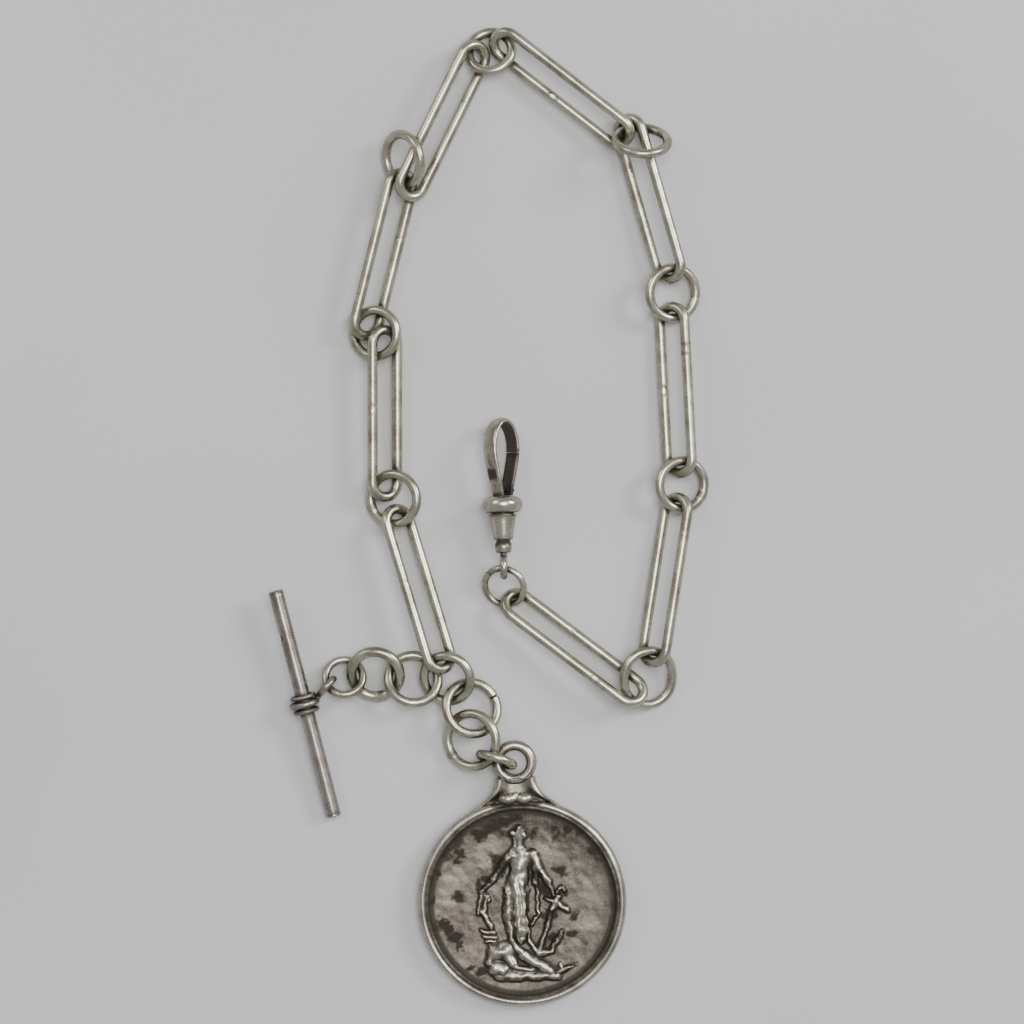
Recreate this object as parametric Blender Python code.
"""Pocket watch chain laid out on a table: dog clip, long links, rings, T-bar and medal drop.

Metres, +Z up. The table is the plane Z = 0 and the chain lies in X and Y.
Driving dimensions are in millimetres and degrees.
"""
import math

import bmesh
import bpy
from mathutils import Matrix, Vector
from mathutils.geometry import delaunay_2d_cdt

MM = 0.001

# ---------------------------------------------------------------- wire sizes
LINK_STRAIGHT = 22.5
LINK_BEND = 2.3
LINK_WIRE = 0.82
RING_WIRE = 0.76
LOOPS = {
    # name: (straight side, centre-line radius, wire radius)
    "ring_1": (0.0, 3.27, 0.53),
    "ring_2": (0.8, 4.1, RING_WIRE),
    "ring_3": (0.0, 3.92, RING_WIRE),
    "ring_4": (0.0, 4.09, RING_WIRE),
    "ring_5": (0.0, 4.17, RING_WIRE),
    "ring_6": (0.0, 3.52, RING_WIRE),
    "ring_7": (0.0, 4.07, RING_WIRE),
    "ring_8": (0.0, 3.77, RING_WIRE),
    "ring_9": (0.0, 4.07, RING_WIRE),
    "centre_ring": (0.0, 3.87, RING_WIRE),
    "tbar_ring_1": (0.0, 4.07, RING_WIRE),
    "tbar_ring_2": (0.0, 3.97, 0.84),
    "tbar_ring_3": (0.0, 3.03, 0.62),
    "drop_ring_1": (0.0, 4.27, RING_WIRE),
    "drop_ring_2": (0.0, 4.32, RING_WIRE),
    "drop_jump_ring": (0.0, 2.8, 0.74),
}
RING_STEPS = 20
BEND_STEPS = 8
WIRE_BEVEL = 2

# ---------------------------------------------------------------- how each piece lies
# name: (x, y, lift above lying on the table, heading, roll, pitch)
LAY = {
    "centre_ring": (-12.2, 36.3, 0.4, -45, 21, -3),
    "link_i": (-16.8, 50.8, 0.3, -73, -35, 2),
    "ring_9": (-20.9, 65.4, 0.0, -80, 22, 0),
    "link_h": (-22.3, 79.3, 0.1, -90, -31, -1),
    "ring_8": (-23.9, 92.3, 0.0, -90, 21, -2),
    "link_g": (-22.5, 105.1, 0.0, -104, -32, -1),
    "ring_7": (-19.3, 120.4, 0.0, -78, 48, -3),
    "link_f": (-12.9, 126.7, 0.3, -116, -33, 3),
    "ring_6": (-5.2, 138.0, 0.0, -180, 21, -9),
    "link_e": (6.4, 132.0, 0.6, -38, 33, 2),
    "ring_5": (19.3, 123.3, 0.8, 177, 55, 1),
    "link_d": (20.6, 114.1, 0.0, -74, 34, 2),
    "ring_4": (24.4, 98.8, 0.0, 74, 23, -2),
    "link_c": (24.9, 83.1, 0.0, -87, 32, 1),
    "ring_3": (25.9, 67.7, 0.0, 86, 21, 2),
    "link_b": (23.2, 52.3, 0.0, -99, 38, 2),
    "ring_2": (20.4, 36.4, 0.1, 90, 15, 13),
    "link_a": (8.4, 41.3, 0.0, -37, -31, 3),
    "ring_1": (-2.9, 51.2, 0.1, -31, 29, 1),
    "tbar_ring_1": (-17.7, 36.2, 0.0, 160, 22, -1),
    "tbar_ring_2": (-23.8, 37.0, 0.0, -13, 23, 0),
    "tbar_ring_3": (-28.9, 36.5, 0.3, 138, 17, -15),
    "drop_ring_1": (-8.2, 31.5, 0.0, 126, 22, -2),
    "drop_ring_2": (-8.2, 26.3, 0.1, -80, 25, 0),
    "drop_jump_ring": (-4.2, 23.2, 0.0, -18, 80, 0),
}

# ---------------------------------------------------------------- T-bar
BAR_LENGTH = 38.0
BAR_R = 1.2
END_CAP = 0.45
END_BEVEL = 0.18
SOLDER_GAP = 0.3
LOOP_R = 1.98
LOOP_WIRE = 0.52
STOP_R = 1.8
STOP_WIRE = 0.3
STOP_OFFSET = 1.2
TBAR_EYE_R = 1.62
TBAR_EYE_WIRE = 0.56
NECK_R = 0.5

# ---------------------------------------------------------------- dog clip, along its axis
COLLAR_R = 3.25
COLLAR_HALF = 1.3
BARREL_TOP = -1.6
BARREL_END = -5.7
BARREL_TOP_R = 2.2
BARREL_END_R = 1.55
BEAD_TOP = -6.0
BEAD_END = -7.8
BEAD_R = 1.38
BORE_R = 0.85
STEM_R = 0.55
HEAD_R = 0.95
HEAD_TOP = -2.9
HEAD_END = -3.5
CAVITY_R = 1.3
CLIP_EYE_R = 1.45
CLIP_EYE_WIRE = 0.6
CLIP_EYE_AT = -10.1
ARM_FOOT = 1.6
ARM = [(0.95, ARM_FOOT), (1.3, 3.2), (1.9, 5.5), (2.45, 8.0), (2.5, 10.0), (1.95, 12.0), (1.0, 13.3)]
ARM_TIP = 13.75
ARM_THICK = 0.8
ARM_WIDE = 3.0
GATE_SPLIT = 8.4
GATE_FOOT = 3.2
GATE_PIN_AT = (1.1, 2.35)
GATE_PIN_R = 0.3
KNUCKLE_R = 0.75
KNUCKLE_BORE = 0.42

# ---------------------------------------------------------------- medal
MEDAL_HEADING = 3.2
MEDAL_LEAN = 2.2
LOOP_HEIGHT = 1.0
DISC_R = 15.0
DISC_THICK = 1.3
RIM_INNER = 15.3
RIM_OUTER = 16.9
RIM_HEIGHT = 2.4
LOOP_AT = 22.8
LOOP_CENTRE_R = 2.75
LOOP_WIRE_R = 0.85
SHOULDER_HALF = 5.6
SHOULDER_THICK = 1.7
RELIEF_GRID = 1.15
RELIEF_REACH = 13.2

# ---------------------------------------------------------------- who hangs on whom
HANGS_ON = {
    "link_i": "centre_ring",
    "ring_9": "link_i",
    "link_h": "ring_9",
    "ring_8": "link_h",
    "link_g": "ring_8",
    "ring_7": "link_g",
    "link_f": "ring_7",
    "ring_6": "link_f",
    "link_e": "ring_6",
    "ring_5": "link_e",
    "link_d": "ring_5",
    "ring_4": "link_d",
    "link_c": "ring_4",
    "ring_3": "link_c",
    "link_b": "ring_3",
    "ring_2": "link_b",
    "link_a": "ring_2",
    "ring_1": "link_a",
    "tbar_ring_1": "centre_ring",
    "tbar_ring_2": "tbar_ring_1",
    "tbar_ring_3": "tbar_ring_2",
    "drop_ring_1": "centre_ring",
    "drop_ring_2": "drop_ring_1",
    "drop_jump_ring": "drop_ring_2",
}


# ---------------------------------------------------------------- materials
def silver(name, colour, roughness):
    material = bpy.data.materials.new(name)
    material.use_nodes = True
    shader = material.node_tree.nodes["Principled BSDF"]
    shader.inputs["Base Color"].default_value = (*colour, 1.0)
    shader.inputs["Roughness"].default_value = roughness
    shader.inputs["Metallic"].default_value = 1.0
    return material


# ---------------------------------------------------------------- placing
def lay_frame(x, y, z, heading, roll, pitch):
    """Frame of a piece: its long axis is local X and its normal local Z."""
    turn = Matrix.Rotation(math.radians(heading), 4, "Z")
    turn = turn @ Matrix.Rotation(math.radians(-pitch), 4, "Y")
    turn = turn @ Matrix.Rotation(math.radians(roll), 4, "X")
    return Matrix.Translation((x, y, z)) @ turn


def loop_size(name):
    if name in LOOPS:
        return LOOPS[name]
    return LINK_STRAIGHT, LINK_BEND, LINK_WIRE


def piece_frame(name):
    """Frame of a ring or link lying on the table, or lifted above it where it rests on others."""
    x, y, lift, heading, roll, pitch = LAY[name]
    straight, bend, wire = loop_size(name)
    frame = lay_frame(x, y, 0.0, heading, roll, pitch)
    slope_along = abs(frame[2][0])
    slope_across = abs(frame[2][1])
    height = wire + slope_along * straight / 2.0 + bend * math.hypot(slope_along, slope_across)
    return Matrix.Translation((0.0, 0.0, height + lift)) @ frame


def place(obj, frame, pivot):
    """Stand the object's origin on its joint's axis, with the axes of its own frame."""
    obj.matrix_world = Matrix.Translation(Vector(pivot) * MM) @ frame.to_3x3().to_4x4()
    bpy.context.collection.objects.link(obj)


def local_shift(frame, pivot):
    home = Matrix.Translation(pivot) @ frame.to_3x3().to_4x4()
    return home.inverted() @ frame


def finish(name, mesh, frame, pivot, material):
    obj = bpy.data.objects.new(name, mesh)
    place(obj, frame, pivot)
    mesh.materials.append(material)
    mesh.shade_smooth()
    mesh.set_sharp_from_angle(angle=math.radians(40))
    return obj


def bmesh_object(name, bm, frame, pivot, material):
    """Turn a bmesh in the piece's frame, in millimetres, into an object."""
    bmesh.ops.transform(bm, matrix=Matrix.Scale(MM, 4) @ local_shift(frame, pivot), verts=bm.verts)
    bmesh.ops.recalc_face_normals(bm, faces=bm.faces)
    mesh = bpy.data.meshes.new(name)
    bm.to_mesh(mesh)
    bm.free()
    return finish(name, mesh, frame, pivot, material)


# ---------------------------------------------------------------- wire loops
def oval_path(straight, bend, steps):
    """Closed centre line of a ring (no straight) or of a long link, in its own plane."""
    points = []
    if straight == 0.0:
        for step in range(steps):
            angle = 2.0 * math.pi * step / steps
            points.append(Vector((bend * math.cos(angle), bend * math.sin(angle), 0.0)))
        return points
    for side in (1, -1):
        for step in range(steps + 1):
            angle = math.pi * (step / steps - 0.5)
            x = side * (straight / 2.0 + bend * math.cos(angle))
            points.append(Vector((x, side * bend * math.sin(angle), 0.0)))
    return points


def wire_loop(name, path, wire, frame, pivot, material):
    shift = local_shift(frame, pivot)
    curve = bpy.data.curves.new(name, "CURVE")
    curve.dimensions = "3D"
    curve.bevel_depth = wire * MM
    curve.bevel_resolution = WIRE_BEVEL
    curve.use_fill_caps = True
    spline = curve.splines.new("POLY")
    spline.points.add(len(path) - 1)
    for point, spot in zip(spline.points, path):
        point.co = (*((shift @ spot) * MM), 1.0)
    spline.use_cyclic_u = True
    spline.use_smooth = True
    curve.materials.append(material)
    obj = bpy.data.objects.new(name, curve)
    place(obj, frame, pivot)
    return obj


def bend_centres(name):
    frame = piece_frame(name)
    reach = Vector((LINK_STRAIGHT / 2.0, 0.0, 0.0))
    return [frame @ reach, frame @ -reach]


def hook_point(child, parent):
    """Where the two pieces hook through each other: a link's bend, or between two rings."""
    spots = {name: piece_frame(name).translation for name in (child, parent)}
    for link, ring in ((child, parent), (parent, child)):
        if link.startswith("link"):
            return min(bend_centres(link), key=lambda spot: (spot - spots[ring]).length)
    return (spots[child] + spots[parent]) / 2.0


def chain_pivot(name):
    if name in HANGS_ON:
        return hook_point(name, HANGS_ON[name])
    return piece_frame(name).translation


def build_chain(material):
    for name in LAY:
        straight, bend, wire = loop_size(name)
        steps = BEND_STEPS if straight > 0.0 else RING_STEPS
        path = oval_path(straight, bend, steps)
        wire_loop(name, path, wire, piece_frame(name), chain_pivot(name), material)


# ---------------------------------------------------------------- turned and swept pieces
def turned(bm, profile, sides, closed):
    """Spin (radius, height) points about local Z; an open profile is capped at both ends."""
    rows = []
    for radius, height in profile:
        row = []
        for side in range(sides):
            angle = 2.0 * math.pi * side / sides
            row.append(bm.verts.new((radius * math.cos(angle), radius * math.sin(angle), height)))
        rows.append(row)
    pairs = list(zip(rows, rows[1:]))
    if closed:
        pairs.append((rows[-1], rows[0]))
    else:
        bm.faces.new(rows[0])
        bm.faces.new(list(reversed(rows[-1])))
    for low, high in pairs:
        for side in range(sides):
            after = (side + 1) % sides
            bm.faces.new((low[side], low[after], high[after], high[side]))


def turned_object(name, profile, sides, closed, frame, pivot, material):
    bm = bmesh.new()
    turned(bm, profile, sides, closed)
    return bmesh_object(name, bm, frame, pivot, material)


def round_section(radius, wire, height, steps):
    """Profile of a ring of round wire lying square to local Z."""
    points = []
    for step in range(steps):
        angle = 2.0 * math.pi * step / steps
        points.append((radius + wire * math.cos(angle), height + wire * math.sin(angle)))
    return points


def swept(bm, path, section):
    """Sweep a closed section, given as (outward, across) pairs, along a path in the XZ plane."""
    rows = []
    for index, spot in enumerate(path):
        before = path[max(index - 1, 0)]
        after = path[min(index + 1, len(path) - 1)]
        along = (after - before).normalized()
        outward = Vector((along.z, 0.0, -along.x))
        across = Vector((0.0, 1.0, 0.0))
        rows.append([bm.verts.new(spot + outward * out + across * side) for out, side in section])
    count = len(section)
    bm.faces.new(rows[0])
    bm.faces.new(list(reversed(rows[-1])))
    for low, high in zip(rows, rows[1:]):
        for side in range(count):
            after = (side + 1) % count
            bm.faces.new((low[side], low[after], high[after], high[side]))


def smooth_route(knots, steps):
    """Catmull-Rom curve through the knots."""
    padded = [2 * knots[0] - knots[1]] + list(knots) + [2 * knots[-1] - knots[-2]]
    route = []
    for index in range(1, len(padded) - 2):
        p0, p1, p2, p3 = padded[index - 1:index + 3]
        for step in range(steps):
            t = step / steps
            bend = 2 * p0 - 5 * p1 + 4 * p2 - p3
            swing = 3 * p1 - p0 - 3 * p2 + p3
            route.append(0.5 * (2 * p1 + (p2 - p0) * t + bend * t * t + swing * t * t * t))
    route.append(knots[-1])
    return route


def unite(obj, others):
    """Join overlapping solids into one body and drop the helpers."""
    for index, other in enumerate(others):
        join = obj.modifiers.new(f"join_{index}", "BOOLEAN")
        join.operation = "UNION"
        join.solver = "EXACT"
        join.object = other
        other.hide_render = True
        other.display_type = "WIRE"
    return obj


# ---------------------------------------------------------------- T-bar
TBAR_AT = (-35.28, 32.2, 2.52)
TBAR_HEADING = -75.7
TBAR_DIP = 3.9
TBAR_EYE_AT = (-31.7, 35.03, 2.45)
TBAR_EYE_HEADING = 48.0
BAR_SIDES = 16


def axis_frame(place_at, heading, dip, roll=0.0):
    """Frame whose local Z points along a heading, sinking by the dip angle."""
    turn = Matrix.Rotation(math.radians(heading), 4, "Z")
    turn = turn @ Matrix.Rotation(math.radians(90.0 + dip), 4, "Y")
    turn = turn @ Matrix.Rotation(math.radians(roll), 4, "Z")
    return Matrix.Translation(place_at) @ turn


def bevelled_rod(radius, low, high, bevel):
    return [(radius - bevel, low), (radius, low + bevel), (radius, high - bevel), (radius - bevel, high)]


def build_tbar(material):
    frame = axis_frame(TBAR_AT, TBAR_HEADING, TBAR_DIP)
    pivot = Vector(TBAR_AT)
    half = BAR_LENGTH / 2.0
    rod_half = half - END_CAP - SOLDER_GAP
    turned_object("tbar_bar", bevelled_rod(BAR_R, -rod_half, rod_half, END_BEVEL), BAR_SIDES, False,
                  frame, pivot, material)
    for name, side in (("tbar_end_cap_upper", -1), ("tbar_end_cap_lower", 1)):
        low, high = sorted((side * half, side * (half - END_CAP)))
        turned_object(name, bevelled_rod(BAR_R, low, high, END_BEVEL / 2.0), BAR_SIDES, False,
                      frame, pivot, material)
    for name, side in (("tbar_stop_upper", -1), ("tbar_stop_lower", 1)):
        turned_object(name, round_section(STOP_R, STOP_WIRE, side * STOP_OFFSET, 6), BAR_SIDES, True,
                      frame, pivot, material)
    build_tbar_loop(frame, material)


def build_tbar_loop(frame, material):
    """Turning loop on the bar with the small eye that takes the last ring."""
    pivot = Vector(TBAR_EYE_AT)
    loop = turned_object("tbar_loop", round_section(LOOP_R, LOOP_WIRE, 0.0, 8), 18, True,
                         frame, pivot, material)
    eye_frame = lay_frame(*TBAR_EYE_AT, TBAR_EYE_HEADING, 90.0, 0.0)
    eye = turned_object("tbar_loop_eye_tool", round_section(TBAR_EYE_R, TBAR_EYE_WIRE, 0.0, 8), 16, True,
                        eye_frame, pivot, material)
    heel = eye_frame @ Vector((-TBAR_EYE_R, 0.0, 0.0))
    start = frame.inverted() @ heel
    seat = Vector((start.x, start.y, 0.0)).normalized() * LOOP_R
    neck_from = frame @ Vector((seat.x, seat.y, -LOOP_WIRE * 0.4))
    neck = neck_object("tbar_loop_neck_tool", neck_from, heel, material, pivot)
    unite(loop, [eye, neck])


def neck_object(name, start, end, material, pivot):
    along = end - start
    turn = along.to_track_quat("Z", "Y").to_matrix().to_4x4()
    frame = Matrix.Translation(start) @ turn
    far = along.length
    profile = [(NECK_R * 0.7, -0.1), (NECK_R, 0.15), (NECK_R, far - 0.05), (NECK_R * 0.7, far + 0.2)]
    return turned_object(name, profile, 10, False, frame, pivot, material)


# ---------------------------------------------------------------- dog clip
CLIP_AT = (-3.2, 64.5, 3.3)
CLIP_HEADING = 91.1
CLIP_DIP = 1.7
CLIP_ROLL = 40.0


def clip_frames():
    """Clip frame: local Z towards the hook's tip, local X across the hook, Y its normal."""
    frame = axis_frame(CLIP_AT, CLIP_HEADING, CLIP_DIP)
    level = Matrix.Rotation(math.radians(-90.0), 4, "Z")
    return frame @ level @ Matrix.Rotation(math.radians(CLIP_ROLL), 4, "Z"), frame


def strip_section():
    """Half-round strip: flat towards the opening, crowned outside."""
    half = ARM_WIDE / 2.0
    flat = -ARM_THICK / 2.0
    crown = ARM_THICK / 2.0
    return [(flat, -half), (0.1, -half), (crown * 0.8, -half * 0.6), (crown, 0.0),
            (crown * 0.8, half * 0.6), (0.1, half), (flat, half)]


def arm_route(side):
    knots = [Vector((side * x, 0.0, z)) for x, z in ARM]
    knots.append(Vector((0.0, 0.0, ARM_TIP)))
    return smooth_route(knots, 2)


def crossing(route, height):
    """Point where a rising route passes a height."""
    for low, high in zip(route, route[1:]):
        if low.z <= height < high.z:
            return low.lerp(high, (height - low.z) / (high.z - low.z))
    return route[-1]


def build_clip(material, dark):
    frame, plain = clip_frames()
    axis_point = Vector(CLIP_AT)
    eye_point = plain @ Vector((0.0, 0.0, CLIP_EYE_AT))
    turned_object("clip_collar", collar_profile(), 20, False, frame, axis_point, material)
    turned_object("clip_barrel", barrel_profile(), 16, True, frame, axis_point, material)
    turned_object("clip_neck_bead", bead_profile(), 14, True, frame, axis_point, material)
    build_hook(frame, axis_point, material, dark)
    build_clip_eye(plain, eye_point, material)


def collar_profile():
    points = []
    steps = 6
    for step in range(steps + 1):
        angle = math.pi * (step / steps - 0.5)
        points.append((COLLAR_R - COLLAR_HALF * (1.0 - math.cos(angle)), COLLAR_HALF * math.sin(angle)))
    return points


def barrel_profile():
    return [(BARREL_TOP_R, BARREL_TOP), (BARREL_END_R, BARREL_END), (BORE_R, BARREL_END), (BORE_R, -4.2),
            (CAVITY_R, -4.2), (CAVITY_R, -2.6), (0.3, -2.6), (0.3, BARREL_TOP)]


def bead_profile():
    middle = (BEAD_TOP + BEAD_END) / 2.0
    return [(BEAD_R - 0.3, BEAD_TOP), (BEAD_R, middle), (BEAD_R - 0.3, BEAD_END), (BORE_R, BEAD_END),
            (BORE_R, BEAD_TOP)]


def build_clip_eye(plain, eye_point, material):
    """Swivel shank: riveted head in the barrel, stem, and the eye that takes ring 1."""
    stem = [(STEM_R, CLIP_EYE_AT + CLIP_EYE_R - 0.2), (STEM_R, HEAD_END), (HEAD_R, HEAD_END), (HEAD_R, HEAD_TOP)]
    shank = turned_object("clip_shank", stem, 10, False, plain, eye_point, material)
    upright = plain @ Matrix.Translation((0.0, 0.0, CLIP_EYE_AT)) @ Matrix.Rotation(math.radians(90.0), 4, "X")
    eye = turned_object("clip_eye_tool", round_section(CLIP_EYE_R, CLIP_EYE_WIRE, 0.0, 8), 16, True,
                        upright, eye_point, material)
    unite(shank, [eye])


def build_hook(frame, axis_point, material, dark):
    left = arm_route(-1)
    right = arm_route(1)
    lowest = GATE_SPLIT + SOLDER_GAP
    fixed = [crossing(right, lowest)] + [spot for spot in right if spot.z > lowest + 0.2]
    bm = bmesh.new()
    swept(bm, left + list(reversed(fixed))[1:], strip_section_mirrored())
    bmesh_object("clip_hook", bm, frame, axis_point, material)
    pin_at = frame @ Vector((GATE_PIN_AT[0], 0.0, GATE_PIN_AT[1]))
    gate_route = [spot for spot in right if GATE_FOOT - 0.01 <= spot.z <= GATE_SPLIT - 0.2]
    gate_route = [Vector((GATE_PIN_AT[0] + 0.1, 0.0, GATE_FOOT - 0.3))] + gate_route
    gate_route.append(crossing(right, GATE_SPLIT))
    bm = bmesh.new()
    swept(bm, gate_route, strip_section())
    gate = bmesh_object("clip_gate", bm, frame, pin_at, dark)
    across = frame @ Matrix.Translation((GATE_PIN_AT[0], 0.0, GATE_PIN_AT[1])) @ Matrix.Rotation(
        math.radians(90.0), 4, "X")
    turned_object("clip_gate_pin", bevelled_rod(GATE_PIN_R, -ARM_WIDE / 2.0, ARM_WIDE / 2.0, 0.05), 10, False,
                  across, axis_point, dark)
    half = ARM_WIDE / 2.0
    tube = [(KNUCKLE_R, -half), (KNUCKLE_R, half), (KNUCKLE_BORE, half), (KNUCKLE_BORE, -half)]
    knuckle = turned_object("clip_knuckle_tool", tube, 12, True, across, pin_at, dark)
    unite(gate, [knuckle])


def strip_section_mirrored():
    return [(-out, side) for out, side in strip_section()]


# ---------------------------------------------------------------- medal
# raised figure and anchor: start (x, y), end (x, y), half-width at each, height of the crown
RELIEF = {
    "head": ((0.2, 10.5), (0.2, 11.1), 1.3, 1.2, 1.0),
    "neck": ((0.2, 9.3), (0.2, 8.6), 0.7, 0.8, 0.6),
    "shoulders": ((-1.6, 7.6), (2.0, 7.3), 1.3, 1.3, 0.8),
    "waist": ((0.1, 6.8), (0.0, 4.6), 1.8, 1.4, 0.8),
    "hips": ((-0.3, 3.6), (-0.9, 1.0), 1.7, 2.1, 0.9),
    "robe": ((-1.0, 1.0), (-1.6, -4.8), 2.2, 2.6, 0.8),
    "left_arm": ((-2.6, 7.4), (-4.6, 4.4), 0.8, 0.7, 0.8),
    "left_forearm": ((-4.6, 4.4), (-6.9, 1.8), 0.7, 0.6, 0.7),
    "drape": ((-6.0, 1.6), (-5.4, -3.2), 0.7, 0.9, 0.5),
    "pedestal": ((-6.6, -4.9), (-5.2, -4.9), 1.1, 1.1, 0.6),
    "rock": ((-4.9, -7.6), (-2.9, -9.4), 1.9, 2.0, 0.6),
    "right_arm": ((3.0, 7.0), (4.3, 4.2), 0.8, 0.7, 0.8),
    "right_forearm": ((4.3, 4.2), (5.1, 1.6), 0.7, 0.6, 0.7),
    "swag": ((2.4, 5.0), (2.3, -1.4), 0.6, 0.7, 0.5),
    "anchor_stock": ((3.7, 0.7), (7.3, -1.6), 0.6, 0.6, 0.5),
    "anchor_shank": ((5.6, 0.6), (1.8, -8.0), 0.7, 0.8, 0.6),
    "anchor_fluke": ((6.1, -5.0), (2.0, -8.6), 0.8, 0.9, 0.5),
    "ground": ((-4.6, -10.6), (6.2, -10.0), 1.3, 1.5, 0.5),
    "base": ((-3.2, -12.2), (3.4, -12.2), 0.9, 0.9, 0.4),
}


def relief_height(x, y):
    """Height of the raised design above the field."""
    height = 0.0
    for start, end, wide_start, wide_end, crown in RELIEF.values():
        run = Vector(end) - Vector(start)
        share = (Vector((x, y)) - Vector(start)).dot(run) / run.length_squared
        share = min(max(share, 0.0), 1.0)
        wide = wide_start + (wide_end - wide_start) * share
        away = (Vector((x, y)) - Vector(start) - run * share).length / wide
        if away < 1.0:
            height = max(height, crown * math.sqrt(1.0 - away * away))
    return height


def medal_frame_matrix():
    rise = RIM_OUTER * math.sin(math.radians(MEDAL_LEAN)) + 0.02
    return lay_frame(0.0, 0.0, rise, MEDAL_HEADING, MEDAL_LEAN, 0.0)


def medal_loop_point():
    return medal_frame_matrix() @ Vector((0.0, LOOP_AT, LOOP_HEIGHT))


def circle_points(radius, count):
    turns = [2.0 * math.pi * step / count for step in range(count)]
    return [Vector((radius * math.cos(turn), radius * math.sin(turn))) for turn in turns]


def build_disc(frame, pivot, material):
    rim = circle_points(DISC_R, 48)
    spots = rim + circle_points(DISC_R - 0.9, 48)
    rows = int(RELIEF_REACH / RELIEF_GRID)
    for row in range(-rows, rows + 1):
        for column in range(-rows - 1, rows + 2):
            spot = Vector(((column + 0.5 * (row % 2)) * RELIEF_GRID, row * RELIEF_GRID * 0.9))
            if spot.length < RELIEF_REACH:
                spots.append(spot)
    edges = [(step, (step + 1) % 48) for step in range(48)]
    points, _, faces, *_ = delaunay_2d_cdt(spots, edges, [], 1, 0.0001)
    bm = bmesh.new()
    top = [bm.verts.new((spot.x, spot.y, DISC_THICK + relief_height(spot.x, spot.y))) for spot in points]
    for face in faces:
        bm.faces.new([top[index] for index in face])
    bottom = [bm.verts.new((spot.x, spot.y, 0.0)) for spot in rim]
    for step in range(48):
        after = (step + 1) % 48
        bm.faces.new((top[step], top[after], bottom[after], bottom[step]))
    bm.faces.new(bottom)
    bmesh_object("medal_disc", bm, frame, pivot, material)


def extruded(bm, outline, levels):
    """Stack scaled copies of an outline: levels are (scale, height)."""
    rows = []
    for scale, height in levels:
        rows.append([bm.verts.new((x * scale, y, height)) for x, y in outline])
    bm.faces.new(rows[0])
    bm.faces.new(list(reversed(rows[-1])))
    count = len(outline)
    for low, high in zip(rows, rows[1:]):
        for side in range(count):
            after = (side + 1) % count
            bm.faces.new((low[side], low[after], high[after], high[side]))


def build_medal(material):
    frame = medal_frame_matrix()
    pivot = medal_loop_point()
    build_disc(frame, pivot, material)
    rim = [(RIM_INNER, 0.0), (RIM_OUTER - 0.3, 0.0), (RIM_OUTER, 0.4), (RIM_OUTER, 1.8),
           (RIM_OUTER - 0.4, RIM_HEIGHT), (RIM_OUTER - 1.1, RIM_HEIGHT), (RIM_INNER, 1.8)]
    body = turned_object("medal_frame", rim, 48, True, frame, pivot, material)
    half = SHOULDER_HALF
    outline = [(-half, 15.35), (half, 15.35), (3.6, 17.4), (2.5, 18.9), (2.3, 20.4), (-2.3, 20.4), (-2.5, 18.9),
               (-3.6, 17.4)]
    bm = bmesh.new()
    extruded(bm, outline, [(1.0, 0.25), (1.0, 0.25 + SHOULDER_THICK)])
    plate = bmesh_object("medal_shoulder_tool", bm, frame, pivot, material)
    loop_frame = frame @ Matrix.Translation((0.0, LOOP_AT, LOOP_HEIGHT))
    loop = turned_object("medal_loop_tool", round_section(LOOP_CENTRE_R, LOOP_WIRE_R, 0.0, 10), 24, True,
                         loop_frame, pivot, material)
    unite(body, [plate, loop])
    top = max(RIM_HEIGHT, 0.25 + SHOULDER_THICK) + 0.15
    bm = bmesh.new()
    scroll = [(-2.6, 16.4), (-1.7, 16.0), (-0.8, 16.3), (0.0, 15.9), (0.8, 16.3), (1.7, 16.0), (2.6, 16.4),
              (2.2, 17.2), (1.2, 17.3), (0.0, 17.9), (-1.2, 17.3), (-2.2, 17.2)]
    extruded(bm, scroll, [(1.0, top), (1.0, top + 0.25), (0.8, top + 0.5)])
    bmesh_object("medal_scroll", bm, frame, pivot, material)


def shift_to_origin():
    """Move everything so that the middle of the bounding box's bottom is the origin."""
    bpy.context.view_layer.update()
    depsgraph = bpy.context.evaluated_depsgraph_get()
    corners = []
    for obj in bpy.context.scene.objects:
        if obj.hide_render:
            continue
        mesh = obj.evaluated_get(depsgraph).to_mesh()
        corners += [obj.matrix_world @ vert.co for vert in mesh.vertices]
    low = Vector(min(corner[axis] for corner in corners) for axis in range(3))
    high = Vector(max(corner[axis] for corner in corners) for axis in range(3))
    offset = Vector(((low.x + high.x) / 2.0, (low.y + high.y) / 2.0, low.z))
    for obj in bpy.context.scene.objects:
        obj.matrix_world = Matrix.Translation(-offset) @ obj.matrix_world
    bpy.context.view_layer.update()


def main():
    for obj in list(bpy.data.objects):
        bpy.data.objects.remove(obj, do_unlink=True)
    worn = silver("worn_silver", (0.60, 0.59, 0.54), 0.34)
    dark = silver("dark_silver", (0.16, 0.15, 0.12), 0.5)
    pale = silver("pale_silver", (0.66, 0.65, 0.60), 0.3)
    build_chain(worn)
    build_tbar(pale)
    build_clip(pale, dark)
    build_medal(worn)
    shift_to_origin()


main()
